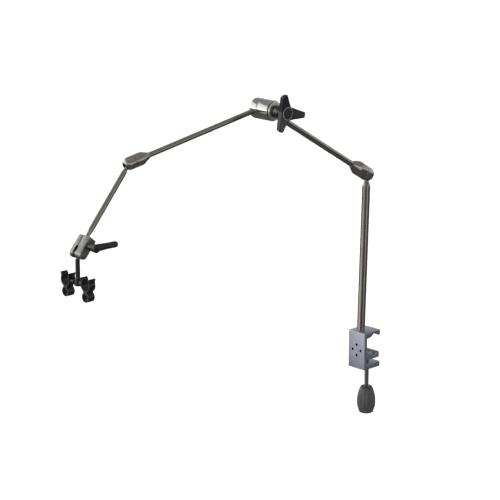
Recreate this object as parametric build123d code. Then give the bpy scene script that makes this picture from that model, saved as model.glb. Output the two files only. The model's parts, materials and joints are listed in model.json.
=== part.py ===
from build123d import *
from math import cos, radians, sin
import os

# Articulated holding arm on a rail clamp.
# Frame: origin on the clamp's rail seat, X across the clamp, +Y from the seat into the
# jaw opening, +Z up. Both arm tubes, the tip rod and the stem lie in planes across X,
# so each is placed by a point and an angle turned from +Y towards +Z.

# ---------------------------------------------------------------- driving sizes, mm
FIT = 0.05            # radial running clearance of a shaft in its bore
GAP = 0.3             # clearance between bodies that turn past each other

CLAMP_WIDTH = 38.0
CLAMP_TOP = 28.0
CLAMP_BOTTOM = -39.5
PLATE = 7.0           # thickness of the closed back plate
SEAT_LOW = -2.0       # the rail seat's lower edge
SEAT_RELIEF = 0.4     # the plate is milled back by this much under the seat
LOWER_JAW_TOP = -30.0
UPPER_JAW_ROOT = 17.5
JAW_REACH = 33.0      # from the rail seat to the jaw tips
HOLE_RING = 19.0      # pitch circle of the four tapped holes
HOLE_R = 2.1          # core of an M5 thread
HOLE_Z = -5.5
SCREW_Y = 20.0
SCREW_R = 4.0
JAW_UNDERSIDE = -22.0
GRIP_TOP = -78.0
GRIP_LENGTH = 48.5

POST_Y = 3.5
POST_R = 7.0
POST_ANGLE = 88.2     # the post leans back 1.8 degrees over the rail
POST_TO_BALL = 280.3

LOWER_ANGLE = 148.9   # first tube, from the post's ball to the hub
LOWER_LENGTH = 278.5
LOWER_TUBE_R = 5.25
LOWER_BALL_R = 8.5
LOWER_HOUSING_R = 12.5

HUB_R = 17.0
HUB_FAR = -26.8       # X of the hub's closed end
HUB_SEAM = -11.0      # X of the joint face between the hub halves
HUB_NEAR = 14.0
BOLT_R = 4.0

UPPER_X = -19.3       # X of the plane that the second tube and the tip lie in
UPPER_ANGLE = 189.85
UPPER_LENGTH = 285.0
UPPER_TUBE_R = 4.25
UPPER_BALL_R = 7.0
UPPER_HOUSING_R = 10.5

TIP_ANGLE = 229.26
TIP_LENGTH = 162.8
TIP_ROD_R = 4.25
PUSH_ROD_R = 2.0

BLOCK_LEFT = -10.0
BLOCK_RIGHT = 15.5
BLOCK_TOP = -28.8
BLOCK_HALF = 7.5      # half the block's depth, and the radius of its round end
BLOCK_SLIT = 0.5      # half the slit between the clamp halves
BLOCK_BOLT_Z = -15.3
BLOCK_BOLT_R = 2.5
STEM_BALL_R = 5.5
STEM_R = 3.6
STEM_END = -41.0
BAR_Z = -46.0         # cross bar under the stem
BAR_R = 3.0

CLIP_X = 24.0         # each hose clip's distance from the stem
CLIP_R = 10.2
CLIP_WALL = 2.3
CLIP_DEPTH = 12.9
CLIP_MOUTH = 7.0      # half the opening between the lips
LIP_TOP = 12.2
LIP_OUT = 10.7
BOSS_DROP = 18.2
BOSS_R = 8.0
RECESS_R = 5.6
RECESS_DEPTH = 2.0
CLIP_SCREW_R = 1.4
LUG_R = 5.0
LUG_START = 6.6       # lug's faces, from the stem's axis
LUG_END = 15.2


# ---------------------------------------------------------------- small helpers
def direction(angle):
    """Unit vector in the YZ plane, turned from +Y towards +Z."""
    return Vector(0, cos(radians(angle)), sin(radians(angle)))


def along(point, angle):
    """Location whose Z axis runs along the angle and whose X axis stays X."""
    return Location((point.X, point.Y, point.Z), (angle - 90, 0, 0))


def turned(outline):
    """Solid of revolution about Z from (radius, height) points."""
    profile = make_face(Polyline([(r, 0, z) for r, z in outline], close=True))
    return revolve(profile, Axis.Z)


def rod(radius, low, high, x=0.0, y=0.0):
    """Cylinder along Z between two heights."""
    return Pos(x, y, (low + high) / 2) * Cylinder(radius, high - low)


def cross_rod(radius, low, high, y=0.0, z=0.0):
    """Cylinder along X between two stations."""
    return Pos((low + high) / 2, y, z) * Rot(0, 90, 0) * Cylinder(radius, high - low)


def cross_turned(outline):
    """Solid of revolution about X from (radius, station) points."""
    return Rot(0, 90, 0) * turned(outline)


def block(x, y, z):
    """Box from three (low, high) pairs."""
    size = [high - low for low, high in (x, y, z)]
    middle = [(high + low) / 2 for low, high in (x, y, z)]
    return Pos(*middle) * Box(*size)


def side_plate(points, low, high):
    """Outline in the YZ plane, extruded along X between two stations."""
    face = make_face(Polyline([(0, y, z) for y, z in points], close=True))
    return Pos(low, 0, 0) * extrude(face, high - low, dir=(1, 0, 0))


POST_FOOT = Vector(0, POST_Y, CLAMP_TOP)
LOWER_BALL = POST_FOOT + direction(POST_ANGLE) * POST_TO_BALL
HUB = LOWER_BALL + direction(LOWER_ANGLE) * LOWER_LENGTH
UPPER_BALL = Vector(UPPER_X, HUB.Y, HUB.Z) + direction(UPPER_ANGLE) * UPPER_LENGTH
STEM_BALL = UPPER_BALL + direction(TIP_ANGLE) * TIP_LENGTH

ON_POST = along(POST_FOOT, POST_ANGLE)
ON_LOWER = along(LOWER_BALL, LOWER_ANGLE)
ON_HUB = Location((HUB.X, HUB.Y, HUB.Z))
ON_UPPER = along(UPPER_BALL, UPPER_ANGLE - 180)
ON_TIP = along(UPPER_BALL, TIP_ANGLE)
ON_BLOCK = along(STEM_BALL, TIP_ANGLE)
ON_STEM = Location((STEM_BALL.X, STEM_BALL.Y, STEM_BALL.Z))


# ---------------------------------------------------------------- rail clamp
SPIGOT_R = 4.5
SPIGOT_DEPTH = 7.5
GRUB_R = 2.0


def clamp_body():
    """C-shaped extrusion: hooked upper jaw, back plate and tapped lower jaw."""
    half = CLAMP_WIDTH / 2
    outline = [
        (-PLATE, CLAMP_BOTTOM), (JAW_REACH, CLAMP_BOTTOM), (JAW_REACH, LOWER_JAW_TOP),
        (-SEAT_RELIEF, LOWER_JAW_TOP), (-SEAT_RELIEF, SEAT_LOW), (0, SEAT_LOW),
        (0, UPPER_JAW_ROOT), (6, UPPER_JAW_ROOT), (12, 19.5), (16.5, 24), (JAW_REACH - 4, 18.5),
        (JAW_REACH, 18.5), (JAW_REACH, CLAMP_TOP), (-PLATE, CLAMP_TOP),
    ]
    body = side_plate(outline, -half, half)
    front = body.edges().filter_by(Axis.X).group_by(Axis.Y)[0]
    body = chamfer(front, 0.8)
    body -= ON_POST * rod(SPIGOT_R, -SPIGOT_DEPTH, 3)
    body -= rod(SCREW_R + FIT, CLAMP_BOTTOM - 1, LOWER_JAW_TOP + 1, y=SCREW_Y)
    body -= cross_rod(GRUB_R, -half - 1, -SPIGOT_R + 0.5, y=POST_Y, z=CLAMP_TOP - 4)
    for x, z in ((1, 0), (-1, 0), (0, 1), (0, -1)):
        ring = HOLE_RING / 2
        hole = Rot(90, 0, 0) * Cylinder(HOLE_R, 3 * PLATE)
        body -= Pos(x * ring, 0, HOLE_Z + z * ring) * hole
    return body


def clamp_jaw():
    """Sliding jaw with a V groove along X and a counterbore for its screw."""
    half = CLAMP_WIDTH / 2
    outline = [
        (0.3, JAW_UNDERSIDE), (31, JAW_UNDERSIDE), (31, -11.5), (27, -11.5), (18.5, -16),
        (10, -8.5), (0.3, -8.5),
    ]
    jaw = side_plate(outline, -half, half)
    jaw -= rod(3 + FIT, JAW_UNDERSIDE - 1, 0, y=SCREW_Y)
    jaw -= rod(5.5, -18.5, 0, y=SCREW_Y)
    return jaw


def clamp_screw():
    """M8 screw with a journal and ring groove that carry the jaw."""
    outline = [
        (0, -122), (SCREW_R, -122), (SCREW_R, JAW_UNDERSIDE - 0.1), (3, JAW_UNDERSIDE - 0.1),
        (3, -18.4), (2.4, -18.4), (2.4, -17.6), (3, -17.6), (3, -16.9), (0, -16.9),
    ]
    return Pos(0, SCREW_Y, 0) * turned(outline)


def jaw_retaining_ring():
    ring = rod(5, -18.35, -17.65) - rod(2.42, -19, -17)
    return Pos(0, SCREW_Y, 0) * ring


def grip_insert():
    """Knurled brass bush moulded into the grip."""
    bush = rod(6, GRIP_TOP - 30, GRIP_TOP - 2) - rod(SCREW_R, GRIP_TOP - 31, GRIP_TOP)
    return Pos(0, SCREW_Y, 0) * bush


def clamp_grip():
    """Barrel grip, fattest a little below its middle."""
    low = GRIP_TOP - GRIP_LENGTH
    with BuildPart() as grip:
        with BuildSketch(Plane.XZ):
            with BuildLine():
                Line((0, low), (12, low))
                Spline((13, low + 1.5), (16.4, low + 19), (14.4, low + 36), (10.2, GRIP_TOP - 1))
                Line((12, low), (13, low + 1.5))
                Line((10.2, GRIP_TOP - 1), (8.6, GRIP_TOP))
                Line((8.6, GRIP_TOP), (0, GRIP_TOP))
                Line((0, GRIP_TOP), (0, low))
            make_face()
        revolve(axis=Axis.Z)
    body = grip.part
    body -= rod(SCREW_R, -122, 0)
    body -= rod(6, GRIP_TOP - 30, GRIP_TOP - 2)
    return Pos(0, SCREW_Y, 0) * body


# ---------------------------------------------------------------- post and lower elbow
STUD_SEAT = POST_TO_BALL - LOWER_HOUSING_R - 1.6   # post's end face under the ball neck
STUD_R = 3.0


def post():
    """Leaning post, its foot cut level to stand on the clamp."""
    outline = [(0, -2), (POST_R, -2), (POST_R, STUD_SEAT - 6.5), (4.6, STUD_SEAT), (0, STUD_SEAT)]
    shaft = ON_POST * (turned(outline) - rod(STUD_R + FIT, STUD_SEAT - 20, STUD_SEAT + 1))
    shaft -= block((-20, 20), (-20, 30), (CLAMP_TOP - 10, CLAMP_TOP))
    return shaft + ON_POST * rod(SPIGOT_R, -SPIGOT_DEPTH + 0.3, 1)


def post_grub_screw():
    screw = cross_rod(GRUB_R, -CLAMP_WIDTH / 2 + 1.5, -SPIGOT_R, y=POST_Y, z=CLAMP_TOP - 4)
    socket = Pos(-CLAMP_WIDTH / 2 + 2.5, POST_Y, CLAMP_TOP - 4) * Rot(0, 90, 0)
    screw -= socket * extrude(RegularPolygon(1.1, 6), 1.5, both=True)
    return screw - ON_POST * rod(SPIGOT_R, -SPIGOT_DEPTH, 0)


def ball_stud(radius, neck, seat, journal, depth):
    """Ball at the origin, neck down to the seat and a journal below it."""
    stud = Sphere(radius) + rod(neck, -seat, 0) + rod(journal, -seat - depth, -seat)
    return stud


def lower_ball():
    seat = POST_TO_BALL - STUD_SEAT - 0.1
    stud = ball_stud(LOWER_BALL_R, 4.0, seat, STUD_R, 19)
    return ON_POST * Pos(0, 0, POST_TO_BALL) * stud


SKIRT = 2.4           # wall of the cap's threaded skirt


def socket_cap(housing, ball, seam, slot, side):
    """Round-nosed cap: spherical seat, threaded skirt and a slot for the neck."""
    skirt = housing - SKIRT
    cap = Sphere(housing) & rod(housing + 1, -housing - 1, 0)
    cap += rod(housing, 0, seam)
    cap -= Sphere(ball + FIT)
    cap -= rod(ball + FIT, 0, seam + 1)
    cap -= rod(skirt, seam - 5, seam + 1)
    reach = housing + 2
    cap -= block((-slot, slot), (min(0, side * reach), max(0, side * reach)), (-reach, 0))
    cap -= rod(slot, -reach, 0)
    cap -= Pos(0, side * reach / 2, 0) * Rot(90, 0, 0) * Cylinder(slot, reach)
    return cap


def socket_body(housing, ball, seam, shoulder, end, tube):
    """Housing behind the cap: threaded spigot, coned back and the tube's bore."""
    spigot = housing - SKIRT - 0.1
    outline = [
        (0, seam - 4.6), (spigot, seam - 4.6), (spigot, seam), (housing, seam),
        (housing, shoulder), (tube + 0.9, end), (0, end),
    ]
    body = turned(outline)
    body -= rod(ball + FIT, 0, seam + ball)
    body -= rod(PUSH_ROD_R + 0.3, seam, end + 1)
    body -= rod(tube, shoulder, end + 1)
    return body


def brake_cup(ball, seam):
    """Plunger whose hollow face bears on the ball."""
    return rod(ball - 0.3, ball * 0.45, seam + ball - 1) - Sphere(ball + FIT)


def tube(radius, low, high):
    return rod(radius, low, high) - rod(PUSH_ROD_R + 0.3, low - 1, high + 1)


LOWER_SEAM = 12.0
UPPER_SEAM = 8.0
LOWER_SHOULDER = 29.0
UPPER_SHOULDER = 25.5
TUBE_STOP = 10.0      # tube's end, from the hub's axis
ROD_STOP = 7.4        # push rod's end, from the hub's axis


def lower_elbow():
    nose = socket_cap(LOWER_HOUSING_R, LOWER_BALL_R, LOWER_SEAM, 4.5, -1)
    back = socket_body(LOWER_HOUSING_R, LOWER_BALL_R, LOWER_SEAM, LOWER_SHOULDER, 45, LOWER_TUBE_R)
    push = rod(PUSH_ROD_R, LOWER_SEAM + LOWER_BALL_R - 1, LOWER_LENGTH - ROD_STOP)
    return {
        "lower_socket_cap": ON_LOWER * nose,
        "lower_socket": ON_LOWER * back,
        "lower_brake_cup": ON_LOWER * brake_cup(LOWER_BALL_R, LOWER_SEAM),
        "lower_tube": ON_LOWER * tube(LOWER_TUBE_R, LOWER_SHOULDER, LOWER_LENGTH - TUBE_STOP),
        "lower_push_rod": ON_LOWER * push,
    }


def upper_elbow():
    nose = socket_cap(UPPER_HOUSING_R, UPPER_BALL_R, UPPER_SEAM, 3.8, 1)
    back = socket_body(UPPER_HOUSING_R, UPPER_BALL_R, UPPER_SEAM, UPPER_SHOULDER, 40, UPPER_TUBE_R)
    push = rod(PUSH_ROD_R, UPPER_SEAM + UPPER_BALL_R - 1, UPPER_LENGTH - ROD_STOP)
    return {
        "upper_socket_cap": ON_UPPER * nose,
        "upper_socket": ON_UPPER * back,
        "upper_brake_cup": ON_UPPER * brake_cup(UPPER_BALL_R, UPPER_SEAM),
        "upper_tube": ON_UPPER * tube(UPPER_TUBE_R, UPPER_SHOULDER, UPPER_LENGTH - TUBE_STOP),
        "upper_push_rod": ON_UPPER * push,
    }


# ---------------------------------------------------------------- central hub
CAVITY_R = 7.0
DISC_R = 13.0
HEAD_R = 6.5
KNOB_BACK = 33.0
KNOB_FACE = 44.5
LOBES = 3
LOBE_TURN = -10.0     # the first lobe's angle, from +Y towards +Z
LOBE_TIP = 33.4
LOBE_TIP_HALF = 4.6
LOBE_CORNER_R = 1.8
LOBE_BACK = 36.0      # stations of a lobe's back and front where it leaves the middle
LOBE_FRONT = 44.0
LOBE_SWEEP = 8.5      # how far the tip lies forward of the root


def hub_half(low, high, cavity, disc, seat, tube_radius, length):
    """Polished drum with the bolt bore, wedge cavity, disc recess and tube socket."""
    drum = cross_rod(HUB_R, low, high)
    drum = chamfer(drum.edges().filter_by(GeomType.CIRCLE).group_by(Axis.X)[0], 0.6)
    drum = chamfer(drum.edges().filter_by(GeomType.CIRCLE).group_by(Axis.X)[-1], 0.6)
    drum -= cross_rod(BOLT_R + FIT, low - 1, high + 1)
    drum -= cross_rod(CAVITY_R, *cavity)
    drum -= cross_rod(DISC_R, *disc)
    drum = ON_HUB * drum
    drum -= seat * rod(tube_radius, length - HUB_R - 2, length - TUBE_STOP)
    drum -= seat * rod(PUSH_ROD_R + 0.3, length - TUBE_STOP - 1, length)
    return drum


def hub_near():
    return hub_half(
        HUB_SEAM + 0.1, HUB_NEAR, (HUB_SEAM + 3, HUB_NEAR - 3),
        (HUB_SEAM - 1, HUB_SEAM + 1), ON_LOWER, LOWER_TUBE_R, LOWER_LENGTH,
    )


def hub_far():
    drum = hub_half(
        HUB_FAR, HUB_SEAM - 0.1, (HUB_FAR + 7, HUB_SEAM - 3),
        (HUB_SEAM - 1.1, HUB_SEAM + 1), ON_UPPER, UPPER_TUBE_R, UPPER_LENGTH,
    )
    return drum - ON_HUB * cross_rod(HEAD_R + 0.5, HUB_FAR - 1, HUB_FAR + 5)


def hub_bolt():
    """Tension bolt, its head keyed in the far half."""
    bolt = cross_rod(BOLT_R, HUB_FAR + 4.9, KNOB_FACE - 2.5)
    return ON_HUB * (bolt + cross_rod(HEAD_R, HUB_FAR + 1.9, HUB_FAR + 4.9))


def wedge(low, high):
    """Coned bush on the bolt that drives the push rod outwards."""
    return ON_HUB * cross_turned([
        (BOLT_R + 0.1, low), (6.8, low), (5.4, high), (BOLT_R + 0.1, high),
    ])


def hub_small_parts():
    disc = cross_rod(DISC_R - 0.2, HUB_SEAM - 0.9, HUB_SEAM + 1)
    ring = cross_turned([
        (BOLT_R + 0.1, HUB_NEAR), (15.8, HUB_NEAR), (15.8, HUB_NEAR + 1.2), (14.2, HUB_NEAR + 4),
        (BOLT_R + 0.1, HUB_NEAR + 4),
    ])
    sleeve = cross_rod(10.6, HUB_NEAR + 4, KNOB_BACK - 1.7) - cross_rod(BOLT_R + 0.1, 0, 50)
    washer = cross_rod(9.5, KNOB_BACK - 1.7, KNOB_BACK - 0.3) - cross_rod(BOLT_R + 0.1, 0, 50)
    insert = cross_rod(6.0, KNOB_BACK, KNOB_BACK + 9) - cross_rod(BOLT_R + FIT, 0, 60)
    return {
        "hub_end_cap": ON_HUB * cross_rod(HEAD_R + 0.5, HUB_FAR, HUB_FAR + 1.5),
        "hub_friction_disc": ON_HUB * (disc - cross_rod(BOLT_R + 0.1, -50, 50)),
        "lower_wedge": wedge(HUB_SEAM + 4, HUB_NEAR - 4),
        "upper_wedge": wedge(HUB_FAR + 8, HUB_SEAM - 4),
        "hub_ring": ON_HUB * ring,
        "knob_sleeve": ON_HUB * sleeve,
        "knob_washer": ON_HUB * washer,
        "knob_insert": ON_HUB * insert,
    }


def star_knob():
    """Three-lobed knob whose lobes sweep forward of its cap."""
    centre = cross_rod(11, KNOB_BACK, KNOB_BACK + 4) + cross_rod(13.2, KNOB_BACK + 4, KNOB_FACE)
    corner = Circle(LOBE_CORNER_R)
    reach, spread = LOBE_TIP - LOBE_CORNER_R, LOBE_TIP_HALF - LOBE_CORNER_R
    plan = make_hull((Circle(11.5) + Pos(reach, spread) * corner + Pos(reach, -spread) * corner).edges())
    side = Polygon(
        (0, LOBE_BACK), (13, LOBE_BACK + 1.2), (LOBE_TIP, LOBE_BACK + LOBE_SWEEP),
        (LOBE_TIP, LOBE_FRONT + LOBE_SWEEP), (13, LOBE_FRONT + 2), (0, LOBE_FRONT), align=None,
    )
    lobe = extrude(Plane.XY.offset(30) * plan, 30)
    lobe &= Plane.XZ * extrude(side, 20, both=True)
    knob = centre
    for index in range(LOBES):
        turn = 360 / LOBES * index
        knob += Rot(0, 90, 0) * Rot(0, 0, 90 + LOBE_TURN + turn) * lobe
    knob -= cross_rod(6.0, KNOB_BACK - 1, KNOB_BACK + 9)
    knob -= cross_rod(BOLT_R + 0.4, KNOB_BACK - 1, KNOB_FACE + 1)
    knob -= cross_rod(11.2, KNOB_FACE - 1.5, 60)
    return ON_HUB * knob


def knob_cap():
    return ON_HUB * cross_turned([
        (0, KNOB_FACE - 1.5), (11.2, KNOB_FACE - 1.5), (11.2, KNOB_FACE + 0.8), (10.2, KNOB_FACE + 1.5),
        (0, KNOB_FACE + 1.5),
    ])


# ---------------------------------------------------------------- tip rod and clamp block
ROD_START = UPPER_HOUSING_R + 1.6
ROD_SHOULDER = TIP_LENGTH + BLOCK_TOP - 12
PIN_R = 3.0
PIN_END = TIP_LENGTH + BLOCK_TOP + 7.5
SLOT_HALF = 3.2
SLOT_TOP = -7.4       # the front slot reaches further up, for the stem to swing forward


def tip_ball():
    stud = Rot(180, 0, 0) * ball_stud(UPPER_BALL_R, 3.2, ROD_START - 0.1, 2.2, 14)
    return ON_TIP * stud


def tip_rod():
    """Rod with a coned shoulder at each end and a pin for the block."""
    outline = [
        (0, ROD_START), (3.4, ROD_START), (TIP_ROD_R, ROD_START + 5), (TIP_ROD_R, ROD_SHOULDER),
        (PIN_R, ROD_SHOULDER + 6), (PIN_R, PIN_END), (0, PIN_END),
    ]
    return ON_TIP * (turned(outline) - rod(2.2 + FIT, ROD_START - 1, ROD_START + 15))


def block_half(low, high):
    """Clamp half: round-ended plate with the ball seat, stem slot and bores."""
    with BuildPart() as made:
        with BuildSketch(Plane.YZ.offset(low)):
            Rectangle(2 * BLOCK_HALF, -BLOCK_TOP, align=(Align.CENTER, Align.MAX))
            Circle(BLOCK_HALF)
        extrude(amount=high - low)
    plate = made.part
    seat = Rot(0, 90, 0) * Sphere(STEM_BALL_R + FIT)
    seat += block((-SLOT_HALF, SLOT_HALF), (-9, 9), (0, 9))
    seat += Rot(90, 0, 0) * Cylinder(SLOT_HALF, 18)
    seat += block((-SLOT_HALF, SLOT_HALF), (0, 9), (SLOT_TOP, 1))
    seat += Pos(0, 4.5, SLOT_TOP) * Rot(90, 0, 0) * Cylinder(SLOT_HALF, 9)
    plate -= seat
    plate -= rod(PIN_R, BLOCK_TOP - 1, BLOCK_TOP + 7.7)
    plate -= cross_rod(BLOCK_BOLT_R + 0.1, low - 1, high + 1, z=BLOCK_BOLT_Z)
    return plate


def block_left():
    plate = block_half(BLOCK_LEFT, -BLOCK_SLIT)
    return ON_BLOCK * (plate - cross_rod(4.3, BLOCK_LEFT - 1, BLOCK_LEFT + 3.5, z=BLOCK_BOLT_Z))


def block_right():
    return ON_BLOCK * block_half(BLOCK_SLIT, BLOCK_RIGHT)


LEVER_BACK = BLOCK_RIGHT + 1.2
LEVER_FRONT = 36.0
LEVER_END = Vector(40.0, 31.3, 2.6)
LEVER_ROOT_R = 6.2
LEVER_TIP_R = 5.0


def block_bolt():
    bolt = cross_rod(BLOCK_BOLT_R, BLOCK_LEFT + 3.4, LEVER_FRONT - 6, z=BLOCK_BOLT_Z)
    bolt += cross_rod(4.2, BLOCK_LEFT + 0.4, BLOCK_LEFT + 3.4, z=BLOCK_BOLT_Z)
    hexagon = extrude(RegularPolygon(1.7, 6), 1.5, both=True)
    key = Pos(BLOCK_LEFT + 1.2, 0, BLOCK_BOLT_Z) * Rot(0, 90, 0) * hexagon
    return ON_BLOCK * (bolt - key)


def lever_washer():
    washer = cross_rod(5.2, BLOCK_RIGHT, BLOCK_RIGHT + 1, z=BLOCK_BOLT_Z)
    return ON_BLOCK * (washer - cross_rod(BLOCK_BOLT_R + 0.1, 0, 40, z=BLOCK_BOLT_Z))


def lever_insert():
    insert = cross_rod(4.0, LEVER_BACK, LEVER_BACK + 8, z=BLOCK_BOLT_Z)
    return ON_BLOCK * (insert - cross_rod(BLOCK_BOLT_R + FIT, 0, 40, z=BLOCK_BOLT_Z))


def lever_handle():
    """Coned hub along X with a tapering handle that leans outwards."""
    hub = cross_turned([
        (0, LEVER_BACK), (5.4, LEVER_BACK), (6.8, LEVER_FRONT - 1.5), (5.3, LEVER_FRONT), (0, LEVER_FRONT),
    ])
    centre = ON_BLOCK * Pos(0, 0, BLOCK_BOLT_Z)
    start = Vector(STEM_BALL.X + LEVER_FRONT - 6.2, centre.position.Y, centre.position.Z)
    end = Vector(STEM_BALL.X, 0, 0) + LEVER_END + Vector(0, start.Y, start.Z)
    lean = end - start
    shaft = Plane(origin=start, z_dir=lean.normalized())
    arm = shaft * Pos(0, 0, lean.length / 2) * Cone(LEVER_ROOT_R, LEVER_TIP_R, lean.length)
    handle = Location(centre.position) * hub + arm
    handle += Pos(end.X, end.Y, end.Z) * Sphere(LEVER_TIP_R)
    handle -= centre * cross_rod(4.1, LEVER_BACK - 1, LEVER_BACK + 8)
    handle -= centre * cross_rod(BLOCK_BOLT_R + 0.3, 0, LEVER_FRONT - 4)
    return handle


# ---------------------------------------------------------------- stem and hose clips
def stem_ball():
    stud = ball_stud(STEM_BALL_R, 2.7, 8.9, 1.9, 10)
    return ON_STEM * stud


def stem():
    """Moulded stem that ends in the cross bar's hub."""
    shaft = rod(STEM_R, STEM_END, -9) - rod(1.9 + FIT, -20, 0)
    hub = Pos(0, 0, BAR_Z) * Cylinder(6.2, 2 * (STEM_END - BAR_Z))
    hub = chamfer(hub.edges().filter_by(GeomType.CIRCLE), 1.2)
    return ON_STEM * (shaft + hub - cross_rod(BAR_R, -10, 10, z=BAR_Z))


def clip_bar():
    """Steel bar through the stem's hub, with a journal in each clip."""
    reach = CLIP_X - CLIP_R - 0.1
    return ON_STEM * cross_rod(BAR_R, -reach, reach, z=BAR_Z)


def hose_clip(side):
    """C clip with flared lips above a round boss, and a pivot lug towards the stem."""
    bore = CLIP_R - CLIP_WALL
    ring = Circle(CLIP_R) - Circle(bore) - Pos(0, CLIP_R) * Rectangle(2 * CLIP_MOUTH, 2 * CLIP_R)
    for sign in (-1, 1):
        flare = Polyline(
            (sign * CLIP_MOUTH, 3.8), (sign * CLIP_MOUTH, 8), (sign * (LIP_OUT - 1.5), LIP_TOP),
            (sign * LIP_OUT, LIP_TOP - 0.9), (sign * (CLIP_MOUTH + 2.4), 7.4),
            (sign * (CLIP_MOUTH + 2.4), 3.8), close=True,
        )
        ring += make_face(flare)
    boss = Pos(0, -BOSS_DROP) * Circle(BOSS_R)
    waist = Pos(0, -BOSS_DROP / 2 - 0.6) * Rectangle(9, 4) - Circle(bore)
    clip = Plane.XZ * extrude(ring + boss + waist, CLIP_DEPTH / 2, both=True)
    front = Pos(0, -CLIP_DEPTH / 2, -BOSS_DROP) * Rot(90, 0, 0)
    clip -= front * Cylinder(RECESS_R, 2 * RECESS_DEPTH)
    clip -= front * Cylinder(CLIP_SCREW_R + 0.1, 2 * CLIP_DEPTH)
    near, far = CLIP_X - LUG_START, CLIP_X - LUG_END
    lug = cross_rod(LUG_R, *sorted((-side * near, -side * far)))
    lug -= cross_rod(BAR_R + FIT, -CLIP_X, CLIP_X)
    lug -= Rot(90, 0, 0) * Cylinder(bore + 0.3, 2 * CLIP_DEPTH)
    return ON_STEM * Pos(side * CLIP_X, 0, BAR_Z) * (clip + lug)


def clip_screw(side):
    """Screw in the boss's centre, its pan head in the recess."""
    screw = rod(1.4, -4, CLIP_DEPTH / 2 - 1.9) + rod(2.8, CLIP_DEPTH / 2 - 2.0, CLIP_DEPTH / 2 - 0.8)
    screw -= rod(0.7, CLIP_DEPTH / 2 - 1.6, CLIP_DEPTH / 2)
    turned_out = Rot(90, 0, 0) * screw
    return ON_STEM * Pos(side * CLIP_X, 0, BAR_Z - BOSS_DROP) * turned_out


# ---------------------------------------------------------------- write every piece
def pieces():
    made = {
        "clamp_body": clamp_body(),
        "clamp_jaw": clamp_jaw(),
        "clamp_screw": clamp_screw(),
        "jaw_retaining_ring": jaw_retaining_ring(),
        "grip_insert": grip_insert(),
        "clamp_grip": clamp_grip(),
        "post": post(),
        "post_grub_screw": post_grub_screw(),
        "lower_ball": lower_ball(),
        "hub_near": hub_near(),
        "hub_far": hub_far(),
        "hub_bolt": hub_bolt(),
        "star_knob": star_knob(),
        "knob_cap": knob_cap(),
        "tip_ball": tip_ball(),
        "tip_rod": tip_rod(),
        "block_left": block_left(),
        "block_right": block_right(),
        "block_bolt": block_bolt(),
        "lever_washer": lever_washer(),
        "lever_insert": lever_insert(),
        "lever_handle": lever_handle(),
        "stem_ball": stem_ball(),
        "stem": stem(),
        "clip_bar": clip_bar(),
        "left_clip": hose_clip(-1),
        "right_clip": hose_clip(1),
        "left_clip_screw": clip_screw(-1),
        "right_clip_screw": clip_screw(1),
    }
    made.update(lower_elbow())
    made.update(upper_elbow())
    made.update(hub_small_parts())
    return made


os.makedirs("parts", exist_ok=True)
for name, shape in pieces().items():
    export_step(shape, f"parts/{name}.step")
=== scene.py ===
import json
from math import atan2, cos, degrees, pi, radians, sin, tan

import bmesh
import bpy
from mathutils import Matrix, Vector
from mathutils.geometry import interpolate_bezier


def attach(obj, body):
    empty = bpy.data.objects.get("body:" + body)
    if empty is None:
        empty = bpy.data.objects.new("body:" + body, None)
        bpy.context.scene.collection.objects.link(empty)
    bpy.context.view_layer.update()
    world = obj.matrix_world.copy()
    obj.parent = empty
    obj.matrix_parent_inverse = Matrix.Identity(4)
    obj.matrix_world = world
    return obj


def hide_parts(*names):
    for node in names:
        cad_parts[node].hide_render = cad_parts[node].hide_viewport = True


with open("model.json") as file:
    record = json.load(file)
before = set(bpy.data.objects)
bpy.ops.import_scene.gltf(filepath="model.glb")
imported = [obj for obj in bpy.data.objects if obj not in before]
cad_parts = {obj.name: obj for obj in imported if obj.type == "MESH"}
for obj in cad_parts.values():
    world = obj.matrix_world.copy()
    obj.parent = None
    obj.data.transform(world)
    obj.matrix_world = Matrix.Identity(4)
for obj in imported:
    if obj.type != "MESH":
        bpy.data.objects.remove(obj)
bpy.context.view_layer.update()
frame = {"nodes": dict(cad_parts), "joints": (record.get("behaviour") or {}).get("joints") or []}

MM = 0.001
JOINT = {joint["name"]: joint for joint in frame["joints"]}


# ---------------------------------------------------------------- places read from the frame
def joint_place(name):
    return Vector(JOINT[name]["pos_m"])


def along(start, direction):
    """Matrix whose Z axis runs along the direction and whose X axis stays X."""
    up = Vector(direction).normalized()
    side = Vector((1, 0, 0))
    deep = up.cross(side).normalized()
    turn = Matrix((deep.cross(up), deep, up)).transposed()
    return Matrix.Translation(start) @ turn.to_4x4() @ Matrix.Scale(MM, 4)


LOWER_BALL = joint_place("lower_tilt")
HUB = joint_place("centre_hinge")
UPPER_BALL = joint_place("tip_tilt")
STEM_BALL = joint_place("stem_tilt")
LEVER_AXIS = joint_place("lever_turn")
UPPER_HUB = Vector((UPPER_BALL.x, HUB.y, HUB.z))

POST_UP = Vector(JOINT["lower_swivel"]["axis"])
TIP_DOWN = Vector(JOINT["tip_swivel"]["axis"])

ON_POST = along(LOWER_BALL, POST_UP)
ON_LOWER = along(LOWER_BALL, HUB - LOWER_BALL)
ON_UPPER = along(UPPER_BALL, UPPER_HUB - UPPER_BALL)
ON_TIP = along(UPPER_BALL, TIP_DOWN)
ON_BLOCK = along(STEM_BALL, TIP_DOWN)
ON_STEM = along(STEM_BALL, (0, 0, 1))
ACROSS_HUB = Matrix.Translation(HUB) @ Matrix.Rotation(pi / 2, 4, "Y") @ Matrix.Scale(MM, 4)
ON_FRAME = Matrix.Scale(MM, 4)


# ---------------------------------------------------------------- camera, floor and light
SURROUND_STRENGTH = 2.4
# Height above the horizon (sine) and brightness there, as a share of the strength.
SURROUND_LEVELS = (
    (-1.0, 0.065), (-0.05, 0.055), (0.02, 0.78), (0.09, 0.78), (0.15, 0.33), (0.3, 0.24), (0.5, 0.13),
    (1.0, 0.20),
)
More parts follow.
